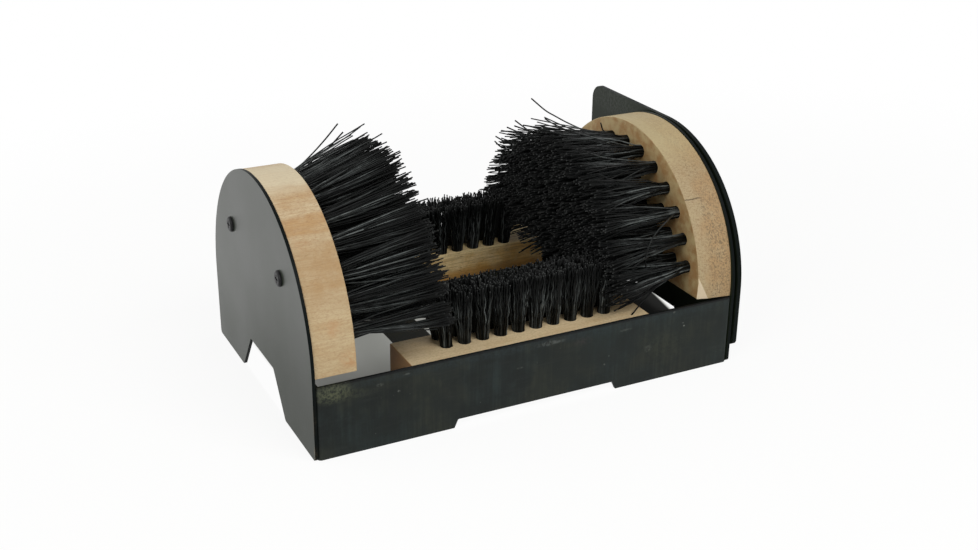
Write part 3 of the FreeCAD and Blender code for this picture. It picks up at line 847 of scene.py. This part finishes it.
wood_left = sanded_wood(
    "wood_left", pale=(0.590, 0.482, 0.306), warm=(0.455, 0.285, 0.128), dark=(0.33, 0.185, 0.095),
    bands=(2, rings_on_left), streak_share=0.38, pore_share=0.32, speckle_share=0.60, waver=4.0,
    extra=mark_left_block)
wood_right = sanded_wood(
    "wood_right", pale=(0.400, 0.316, 0.180), warm=(0.380, 0.250, 0.120), dark=(0.20, 0.120, 0.060),
    bands=(0, across_right), streak_share=0.28, pore_share=0.30, speckle_share=0.64, waver=9.0,
    fibre_turn=(0, 0, quarter), extra=mark_right_block)
wood_front = sanded_wood(
    "wood_front", pale=(0.68, 0.54, 0.33), warm=(0.50, 0.34, 0.165), dark=(0.24, 0.15, 0.065),
    bands=(2, up_front), streak_share=0.16, pore_share=0.20, speckle_share=0.38, extra=darker_ends_and_foot("front"))
wood_rear = sanded_wood(
    "wood_rear", pale=(0.96, 0.78, 0.42), warm=(0.74, 0.42, 0.11), dark=(0.16, 0.060, 0.015),
    bands=(2, up_rear), streak_share=0.46, pore_share=0.75, extra=darker_ends_and_foot("rear"))
print("woods made: 4")

# %% [markdown]
# A filament is black nylon about as thick as a pencil lead. It looks black face on and grey where
# light slides along it, so the gloss matters more than the colour. Some filaments are a little
# greyer than their neighbours: Cycles knows which loose piece of a mesh it is shading, and gives
# each one its own random number. That grey is partly the filament's own tone and partly painted
# sheen. Towards the tip it fades to black: painted shade for the shadow among packed tips.

# %% Material: nylon filament
nylon_black = (0.0014, 0.0018, 0.0016)
nylon_grey_and_sheen = (0.125, 0.138, 0.134)
cut_grey = (0.050, 0.052, 0.050)


def nylon_filament():
    """Black nylon whose tone and painted sheen differ from filament to filament, with matt ends in painted
    shade and greyish cuts.
    """
    material, shader, in_mm = new_material("nylon_black")
    own = output_of(in_mm.tree, "ShaderNodeNewGeometry", "Random Per Island")
    along = output_of(in_mm.tree, "ShaderNodeAttribute", "Fac", attribute_name="along")
    mottle = use_group(mottle_group, in_mm, cloud_scale=0.05, grain_scale=0.2)
    # Painted sheen on the greyer filaments, and painted shade towards the tips.
    tone = own ** 3.5 * spread(mottle["Grain"], 0, 1, 0.4, 1.0) * spread(along, 0.62, 0.92, 1.0, 0.03)
    colour = blend(tone, nylon_black, nylon_grey_and_sheen)
    colour = blend(spread(along, 0.985, 1.0) * own ** 1.5, colour, cut_grey)
    roughness = spread(mottle["Cloud"], 0, 1, 0.25, 0.38) + spread(along, 0.72, 0.96, 0.0, 0.42)
    put_all(shader, {"Base Color": colour, "Roughness": roughness, "Specular IOR Level": 0.15})
    raise_surface(shader, mottle["Grain"], depth_mm=0.02)
    return material


nylon = nylon_filament()
print("bristle finish:", nylon.name)

# %% [markdown]
# The screws are blackened pan heads, glossier than the paint and rubbed bare on the rim and round
# the recess. The tuft anchors are short bits of flat steel wire deep in the blocks. Nobody sees
# them, but a finish with a drawn grain costs little and keeps the set complete.

# %% Materials: screws and anchor wire
oxide_dark = (0.006, 0.006, 0.0065)
oxide_light = (0.014, 0.014, 0.0145)
rubbed_oxide = (0.10, 0.10, 0.10)
wire_dark = (0.46, 0.47, 0.48)
wire_light = (0.62, 0.63, 0.64)


def blackened_steel():
    """Black oxide that is rubbed back on its edges."""
    material, shader, in_mm = new_material("screw_black")
    mottle = use_group(mottle_group, in_mm, cloud_scale=0.3, grain_scale=3.0)
    rub = use_group(edge_group, in_mm, reach=0.3 * mm, patchiness=0.35)["Rub"]
    colour = blend(rub * 0.3, blend(mottle["Cloud"], oxide_dark, oxide_light), rubbed_oxide)
    roughness = spread(mottle["Grain"], 0, 1, 0.32, 0.46)
    put_all(shader, {"Base Color": colour, "Roughness": roughness, "Specular IOR Level": 0.16})
    raise_surface(shader, mottle["Grain"], depth_mm=0.015)
    return material


def drawn_wire():
    """Bright flat wire with fine lines along it."""
    material, shader, in_mm = new_material("anchor_wire")
    lines = noise(stretched(in_mm, scale=(6.0, 0.5, 6.0)), detail=3.0)
    roughness = spread(lines, 0.3, 0.7, 0.28, 0.42)
    colour = blend(lines, wire_dark, wire_light)
    put_all(shader, {"Base Color": colour, "Roughness": roughness, "Metallic": 1.0})
    raise_surface(shader, lines, depth_mm=0.01)
    return material


screw_finish = blackened_steel()
wire_finish = drawn_wire()
print("small finishes made:", screw_finish.name, "and", wire_finish.name)

# %% [markdown]
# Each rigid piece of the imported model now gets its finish, by its name. Nothing is moved. The sharp
# edges of sheared sheet are softened by the paint itself, whose material bends the normal near an
# edge, so that a rim catches light without any new geometry.

# %% Finishes on the rigid pieces
finish_of_node = {
    "left_end_plate": paint_of_plates,
    "right_end_plate": paint_of_right_end,
    "scraper_plate": paint_of_scraper,
    "scraper_spacers": paint_of_scraper,
    "front_wall": paint_of_walls,
    "rear_wall": paint_of_walls,
    "left_cross_strap": paint_of_walls,
    "right_cross_strap": paint_of_walls,
    "left_brush_block": wood_left,
    "right_brush_block": wood_right,
    "front_brush_block": wood_front,
    "rear_brush_block": wood_rear,
}
for name in nodes:
    if name.endswith("_screws"):
        finish_of_node[name] = screw_finish
    if name.endswith("_anchors"):
        finish_of_node[name] = wire_finish

for name, finish in finish_of_node.items():
    for slot in nodes[name].material_slots:
        slot.link = "OBJECT"
        slot.material = finish
print("finished pieces:", len(finish_of_node))

# %% [markdown]
# Now the bristles. A filament is a thin tube round a centre line. Building each one as its own curve
# object would be slow, so all the tubes of a row are computed at once with arrays: first the
# centre lines, then a five-sided ring of points round each place, then the faces between rings.
# Five sides with smooth shading look round at this thickness. Each tube also gets a cell of its own
# in a UV grid, so that a texture can be baked for it later.

# %% Tubes round many centre lines
filament_radius = 0.42 * mm
upright_share = 0.7
tube_sides = 5
cell_margin = 0.1
cap_share = 0.06


def tube_faces(count, rings):
    """Vertex numbers of the walls and of the tip faces of tubes that follow each other."""
    tube = np.arange(count)[:, None, None] * rings * tube_sides
    step = np.arange(rings - 1)[None, :, None] * tube_sides
    side = np.arange(tube_sides)[None, None, :]
    after = (side + 1) % tube_sides
    low = tube + step
    high = low + tube_sides
    walls = np.stack([low + side, low + after, high + after, high + side], axis=-1).reshape(-1, 4)
    tips = (np.arange(count)[:, None] * rings + rings - 1) * tube_sides + np.arange(tube_sides)[None, :]
    return walls, tips


def tube_cells(count, rings):
    """UV places of the walls and the tip faces: one cell of a square grid for each tube."""
    across = math.ceil(math.sqrt(count))
    cell = np.arange(count)
    corner = np.stack([cell % across, cell // across], axis=1) + cell_margin
    step = np.arange(rings - 1)[:, None, None] + np.array((0, 0, 1, 1))[None, None, :]
    side = np.arange(tube_sides)[None, :, None] + np.array((0, 1, 1, 0))[None, None, :]
    wall_u = side / tube_sides * np.ones_like(step)
    wall_v = step / (rings - 1) * (1 - cap_share) * np.ones_like(side)
    wall = np.stack([wall_u, wall_v], axis=-1).reshape(1, -1, 2)
    turn = np.arange(tube_sides) * 2 * np.pi / tube_sides
    tip_u = 0.5 + cap_share / 2 * np.cos(turn)
    tip_v = 1 - cap_share / 2 + cap_share / 2 * np.sin(turn)
    tip = np.stack([tip_u, tip_v], axis=-1)
    inner = 1 - 2 * cell_margin
    walls = (corner[:, None] + wall * inner) / across
    tips = (corner[:, None] + tip[None] * inner) / across
    return walls.reshape(-1, 2), tips.reshape(-1, 2)


def tube_mesh(name, lines, radius):
    """One mesh of tubes, from centre lines given as an array of (tube, ring, xyz)."""
    count, rings, _ = lines.shape
    heading = np.gradient(lines, axis=1)
    heading /= np.linalg.norm(heading, axis=2, keepdims=True)
    mean = lines[:, -1] - lines[:, 0]
    upright = np.abs(mean[:, 2:3]) > upright_share * np.linalg.norm(mean, axis=1, keepdims=True)
    aside = np.where(upright, (1.0, 0.0, 0.0), (0.0, 0.0, 1.0))
    first = np.cross(heading, aside[:, None, :])
    first /= np.linalg.norm(first, axis=2, keepdims=True)
    second = np.cross(heading, first)
    turn = np.arange(tube_sides) * 2 * np.pi / tube_sides
    ring = np.cos(turn)[:, None] * first[:, :, None, :] + np.sin(turn)[:, None] * second[:, :, None, :]
    points = (lines[:, :, None, :] + radius * ring).reshape(-1, 3)
    walls, tips = tube_faces(count, rings)
    mesh = bpy.data.meshes.new(name)
    mesh.vertices.add(len(points))
    mesh.vertices.foreach_set("co", points.astype(np.float32).ravel())
    mesh.loops.add(walls.size + tips.size)
    mesh.loops.foreach_set("vertex_index", np.concatenate([walls.ravel(), tips.ravel()]).astype(np.int32))
    mesh.polygons.add(len(walls) + count)
    starts = np.concatenate([np.arange(len(walls)) * 4, walls.size + np.arange(count) * tube_sides])
    mesh.polygons.foreach_set("loop_start", starts.astype(np.int32))
    smooth = np.concatenate([np.ones(len(walls), bool), np.zeros(count, bool)])
    mesh.polygons.foreach_set("use_smooth", smooth)
    shares = np.tile(np.repeat(np.linspace(0, 1, rings), tube_sides), count)
    along = mesh.attributes.new("along", "FLOAT", "POINT")
    along.data.foreach_set("value", shares.astype(np.float32))
    layer = mesh.uv_layers.new(name="OFBake")
    layer.data.foreach_set("uv", np.concatenate(tube_cells(count, rings)).astype(np.float32).ravel())
    mesh.update(calc_edges=True)
    mesh.materials.append(nylon)
    return mesh


def place_piece(name, mesh, *stands_for):
    """Puts a mesh of filaments in the scene as a piece of the scrubber."""
    piece = bpy.data.objects.new(name, mesh)
    scene.collection.objects.link(piece)
    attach(piece, "root")
    if stands_for:
        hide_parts(*stands_for)


print("a filament is", round(2 * filament_radius / mm, 2), "mm thick")

# %% [markdown]
# A tuft is a pinch of filaments folded over its anchor and driven into a hole. It leaves the hole as
# a tight round bundle, which may stay together for a finger's width before it opens. Its filaments
# are about equally long, so those that lean far out end a little lower. They gather in locks, bow
# a little, carry a slight wave from the spool, and a few have gone astray. Each of those habits is
# one named value below, so the four brushes can differ.

# %% One tuft
golden_turn = math.pi * (3 - math.sqrt(5))
filaments_in_a_tuft = 64
bundle_radius = 3.75 * mm
root_in_hole = 4.0 * mm


def bundle_places(rng):
    """Where the filaments of a tuft stand in the round bundle at its hole, seen along it."""
    order = np.arange(filaments_in_a_tuft)
    turn = order * golden_turn + rng.uniform(0, 2 * np.pi)
    out = bundle_radius * np.sqrt((order + 0.5) / filaments_in_a_tuft)
    return np.stack([out * np.cos(turn), out * np.sin(turn)], axis=1)


def tip_places(rng, start, habits):
    """Where the tips of those filaments end up, seen along the tuft."""
    count = len(start)
    leaders = rng.choice(count, habits["locks"], replace=False)
    nearest = np.argmin(np.linalg.norm(start[:, None] - start[leaders][None], axis=2), axis=1)
    lock_lean = rng.normal(0, habits["lock_lean"], (habits["locks"], 2))
    end = start * habits["opening"]
    end += (start[leaders][nearest] * habits["opening"] - end) * habits["lock_pull"]
    end += lock_lean[nearest] + rng.normal(0, habits["scatter"], (count, 2))
    stray = rng.random(count) < habits["wild_share"]
    turn = rng.uniform(0, 2 * np.pi, count)
    far = habits["wild_lean"] * np.sqrt(rng.random(count)) * stray
    return end + np.stack([far * np.cos(turn), far * np.sin(turn)], axis=1)


def tuft_lines(rng, base, tip, habits):
    """Centre lines of a tuft's filaments, from its base on the wood to its tip's middle."""
    count, rings = filaments_in_a_tuft, habits["rings"]
    axis = tip - base
    length = np.linalg.norm(axis)
    axis = axis / length
    aside = np.array((0.0, 0.0, 1.0)) if abs(axis[2]) < upright_share else np.array((1.0, 0.0, 0.0))
    across = np.cross(axis, aside)
    across /= np.linalg.norm(across)
    upward = np.cross(across, axis)
    start = bundle_places(rng)
    end = tip_places(rng, start, habits)
    share = np.linspace(0, 1, rings)[None, :, None]
    held = habits["held_share"]
    opened = np.clip((share - held) / (1 - held), 0, None) ** habits["opening_curve"]
    flat = start[:, None] + (end - start)[:, None] * opened
    loose = np.clip((share - held) / (1 - held), 0, 1)
    flat += rng.normal(0, habits["bow"], (count, 1, 2)) * np.sin(np.pi * loose)
    flat += rng.normal(0, habits["bow"] * 0.4, (count, 1, 2)) * np.sin(2 * np.pi * loose)
    phase = rng.uniform(0, 2 * np.pi, (count, 1, 2))
    wave = np.sin(share * length / habits["wave_length"] * 2 * np.pi + phase)
    flat += habits["wave_height"] * wave * np.minimum(3 * loose, 1)
    reach = length * habits["length_share"] + rng.normal(0, habits["ragged"], count)
    short = rng.random(count) < habits["short_share"]
    reach -= rng.uniform(0, habits["short_by"], count) * short
    lean = np.linalg.norm(end - start, axis=1)
    ahead_of_hole = np.sqrt(np.maximum(reach ** 2 - lean ** 2, (0.5 * reach) ** 2))
    ahead = share[..., 0] * (ahead_of_hole[:, None] + root_in_hole) - root_in_hole
    return base + axis * ahead[..., None] + across * flat[..., :1] + upward * flat[..., 1:]


print("filaments in a tuft:", filaments_in_a_tuft)

# %% [markdown]
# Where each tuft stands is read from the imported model: the bottom of every root is a small disc, and
# all the discs of a row lie in one plane. Points of one disc lie close together and points of
# two discs don't, so growing a clump from each unclaimed point finds the discs. The middle of a
# disc's box is the middle of its tuft.

# %% Where the tufts stand
plane_reach = 0.01 * mm
disc_gap = 2.5 * mm


def tuft_middles(node_name, axis, towards_low):
    """The middles of a row's tufts, found from the root discs at one end of the node along an axis."""
    mesh = nodes[node_name].data
    points = np.empty(len(mesh.vertices) * 3, np.float32)
    mesh.vertices.foreach_get("co", points)
    points = np.unique(points.reshape(-1, 3).astype(float).round(6), axis=0)
    level = points[:, axis].min() if towards_low else points[:, axis].max()
    rest = points[np.abs(points[:, axis] - level) < plane_reach]
    middles = []
    while len(rest):
        disc, rest = rest[:1], rest[1:]
        grown = True
        while grown and len(rest):
            gaps = np.linalg.norm(rest[:, None] - disc[None], axis=2).min(axis=1)
            near = gaps < disc_gap
            grown = near.any()
            disc, rest = np.concatenate([disc, rest[near]]), rest[~near]
        middles.append((disc.min(axis=0) + disc.max(axis=0)) / 2)
    return middles


print("tufts in a straight row:", len(tuft_middles("front_brush_tufts_row_1", 2, True)))

# %% [markdown]
# All four brushes are made in the same way: row by row, and tuft by tuft along a row, with random
# numbers of its own for each tuft. A row is a piece of its own, in place of the row of cones in the
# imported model. How a single tuft stands and bends is left to the brush.

# %% Rows of tufts
seed_of_the_brushes = 4100


def brush_rows(side, count, axis, towards_low, stream, one_tuft):
    """The filaments of a brush, one piece for each row, with lines made by the function one_tuft."""
    made = 0
    for row in range(1, count + 1):
        node_name = side + "_brush_tufts_row_" + str(row)
        row_low, row_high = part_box(node_name)
        lines = []
        for index, middle in enumerate(tuft_middles(node_name, axis, towards_low)):
            rng = np.random.default_rng([seed_of_the_brushes, stream, row, index])
            lines.append(one_tuft(rng, middle, row_low, row_high))
        name = side + "_brush_filaments_row_" + str(row)
        place_piece(name, tube_mesh(name, np.concatenate(lines), filament_radius), node_name)
        made += len(lines)
    print(side, "brush:", made, "tufts of", filaments_in_a_tuft, "filaments")


print("random streams start from", seed_of_the_brushes)

# %% [markdown]
# The side brushes: five arcs of tufts in each half-round block, which lean outwards as they leave
# the wood. The right brush has been used harder and opens more. The left one has been pressed
# upwards: low in front its filaments rest on the straight brush, so what would sink below that is
# lifted, more and more towards the tip. The right one sags a little.

# %% Side brushes
arcs_of_tufts = 5
left_habits = {
    "rings": 8, "locks": 8, "lock_lean": 1.9 * mm, "lock_pull": 0.52, "opening": 2.6,
    "scatter": 1.05 * mm, "wild_share": 0.16, "wild_lean": 10.0 * mm, "held_share": 0.0,
    "opening_curve": 0.62, "bow": 0.7 * mm, "wave_length": 27 * mm, "wave_height": 0.12 * mm,
    "ragged": 2.1 * mm, "short_share": 0.20, "short_by": 8 * mm, "length_share": 0.855,
    "longer_at_rear": 0.0, "longer_at_top": -0.02, "lean_out": 0.188,
}
right_habits = dict(
    left_habits, locks=9, lock_lean=1.8 * mm, lock_pull=0.25, opening=3.1, scatter=2.1 * mm,
    wild_share=0.24, wild_lean=13 * mm, held_share=0.10, opening_curve=1.20, bow=1.3 * mm,
    ragged=0.6 * mm, short_share=0.03, length_share=0.905, longer_at_rear=0.008,
    longer_at_top=0.022, lean_out=0.085)
right_sag = -3.0 * mm
left_lift = 4.0 * mm
rest_height = 73 * mm
rest_stiffness = 0.88
resting_from = 0.22


def lifted(lines, lift, rest):
    """Lines that rise or sag towards their tips, and that may rest on something at a height."""
    share = np.linspace(0, 1, lines.shape[1])[None, :]
    lines[..., 2] += lift * share ** 1.5
    if rest:
        sunk = np.maximum(rest - lines[..., 2], 0) * rest_stiffness
        lines[..., 2] += sunk * np.minimum(share / resting_from, 1)
    return lines


def side_brush(side, habits, lift, rest):
    """The filaments of the left or right brush, whose tufts lean away from the middle of the arch."""
    is_left = side == "left"
    block_low, block_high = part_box(side + "_brush_block")
    face = block_high.x if is_left else block_low.x
    arch_middle = np.array((0.0, (block_low.y + block_high.y) / 2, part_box("front_wall")[1].z))

    def one_tuft(rng, middle, row_low, row_high):
        lean = (middle - arch_middle) * habits["lean_out"]
        rearward, upward = lean[1:] / np.linalg.norm(lean[1:])
        longer = habits["longer_at_rear"] * rearward + habits["longer_at_top"] * upward
        own = dict(habits, length_share=habits["length_share"] + longer)
        base = np.array((face, middle[1], middle[2]))
        tip_plane = row_high.x if is_left else row_low.x
        tip = np.array((tip_plane, middle[1] + lean[1], middle[2] + lean[2]))
        return lifted(tuft_lines(rng, base, tip, own), lift, rest if middle[1] < 0 else None)

    brush_rows(side, arcs_of_tufts, 0, is_left, int(is_left), one_tuft)


side_brush("left", left_habits, left_lift, rest_height)
side_brush("right", right_habits, right_sag, None)

# %% [markdown]
# The two straight brushes have short filaments with a stronger wave, which stand upright like grass
# and open until they meet. They have two rows of ten tufts each.

# %% Straight brushes
rows_of_straight_tufts = 2
straight_opening_share = 0.05
rear_length_share = 0.96
rear_opening = 2.12
straight_habits = {
    "rings": 13, "locks": 9, "lock_lean": 0.6 * mm, "lock_pull": 0.30, "opening": 1.95,
    "scatter": 0.7 * mm, "wild_share": 0.08, "wild_lean": 3.0 * mm, "held_share": 0.12,
    "opening_curve": 0.9, "bow": 0.4 * mm, "wave_length": 10 * mm, "wave_height": 0.38 * mm,
    "ragged": 0.8 * mm, "short_share": 0.12, "short_by": 3.5 * mm, "length_share": 1.0,
}


def straight_brush(side, habits):
    """The filaments of the front or rear brush, whose tufts spread a little towards its two ends."""
    block_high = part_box(side + "_brush_block")[1]

    def one_tuft(rng, middle, row_low, row_high):
        base = np.array((middle[0], middle[1], block_high.z))
        lean = (middle[0] - (row_low.x + row_high.x) / 2) * straight_opening_share
        return tuft_lines(rng, base, np.array((middle[0] + lean, middle[1], row_high.z)), habits)

    brush_rows(side, rows_of_straight_tufts, 2, True, len(side), one_tuft)


straight_brush("front", straight_habits)
straight_brush("rear", dict(straight_habits, opening=rear_opening, length_share=rear_length_share))

# %% [markdown]
# A few single bristles stick out of the side brushes: sprung ones above, a loop and some crossed ends
# low on the right. They are placed one by one: each is a depth in millimetres and a list of pixels of
# the photograph, and it runs in the upright plane at that depth.

# %% Where the stray bristles run
left_strays = (
    (34, ((308, 158), (324.5, 140), (337.7, 122.5))),
    (24, ((318, 155), (329, 147), (343, 132))),
)
right_strays = (
    (45, ((588, 132.6), (580.5, 128.8), (566.5, 122.3), (555.7, 116.4), (545.4, 110.4), (531.4, 98.5))),
    (38, ((578, 134), (566.5, 130), (554.6, 124.5), (544.9, 118.7))),
    (34, ((574, 135), (562, 132.6), (550.3, 128.8), (540.5, 125.5))),
    (44, ((560, 131), (545, 129.3), (536.2, 127.4), (523.2, 125.2))),
    (52, ((545, 138), (529.7, 131), (523.2, 126.6), (515.1, 120.5))),
    (48, ((550, 136), (534, 132), (523.2, 128.8), (514.4, 125.9))),
    (54, ((540, 139), (523.2, 133.6), (515.7, 131), (507, 127.2))),
    (56, ((540, 139), (523.2, 134), (512.4, 131.7), (500.8, 131.2))),
    (60, ((525, 148), (510, 144), (503.2, 140.7), (495.7, 136.4))),
    (62, ((520, 153), (506, 148.8), (500.5, 146.6), (494.8, 141.2))),
    (16, ((607.6, 133), (603, 130), (600.7, 122.8))),
    (-84, ((666, 222), (656, 233), (648.5, 247), (645.5, 261), (646, 268))),
    (-86, ((660, 284), (644, 300), (629, 318))),
    (-84, ((662, 281), (640, 298), (614, 311))),
    (-84, ((666, 279), (643, 296), (617, 309.5))),
    (-83, ((664, 282), (641, 297), (620, 307))),
    (-82, ((655, 285), (630, 301), (601, 307))),
)
print("stray bristles:", len(left_strays) + len(right_strays))

# %% [markdown]
# A stray bristle starts in the nearest tuft's hole, and a smooth curve goes through its points. All
# the lines of one mesh need equally many rings, so each line is divided as finely as the longest.

# %% Stray bristles
stray_radius = 0.52 * mm
stray_rings_between = 6
stray_top = 159 * mm


def smooth_line(points, rings_between):
    """A smooth curve through points, each stretch of it shaped by the two points on either side."""
    points = np.asarray(points)
    ends = np.concatenate([[2 * points[0] - points[1]], points, [2 * points[-1] - points[-2]]])
    share = np.arange(rings_between)[:, None] / rings_between
    line = []
    for index in range(len(points) - 1):
        before, here, there, after = ends[index:index + 4]
        line.append(0.5 * (2 * here + (there - before) * share
                           + (2 * before - 5 * here + 4 * there - after) * share ** 2
                           + (3 * here - before - 3 * there + after) * share ** 3))
    return np.concatenate(line + [points[-1:]])


def stray_bristles(side, strays):
    """The single bristles of one side brush, as one piece."""
    is_left = side == "left"
    block_low, block_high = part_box(side + "_brush_block")
    face = block_high.x if is_left else block_low.x
    holes = [middle for row in range(1, arcs_of_tufts + 1)
             for middle in tuft_middles(side + "_brush_tufts_row_" + str(row), 0, is_left)]
    parts = []
    for depth_mm, pixels in strays:
        seen = [np.array(point_on_plane(right, down, 1, depth_mm * mm)) for right, down in pixels]
        for point in seen:
            point[2] = min(point[2], stray_top)
        hole = min(holes, key=lambda middle: np.linalg.norm(middle[1:] - seen[0][1:]))
        root = np.array((face, hole[1], hole[2]))
        inside = root - np.array((root_in_hole if is_left else -root_in_hole, 0, 0))
        parts.append(smooth_line([inside, root] + seen, stray_rings_between))
    name = side + "_brush_stray_filaments"
    longest = max(len(part) for part in parts)
    lines = []
    for part in parts:
        places = np.linspace(0, len(part) - 1, longest)
        evened = [np.interp(places, np.arange(len(part)), part[:, axis]) for axis in range(3)]
        lines.append(np.stack(evened, axis=1))
    place_piece(name, tube_mesh(name, np.array(lines), stray_radius))
    print(side, "strays:", len(lines), "top", round(max(line[:, 2].max() for line in lines) / mm, 1), "mm")


stray_bristles("left", left_strays)
stray_bristles("right", right_strays)
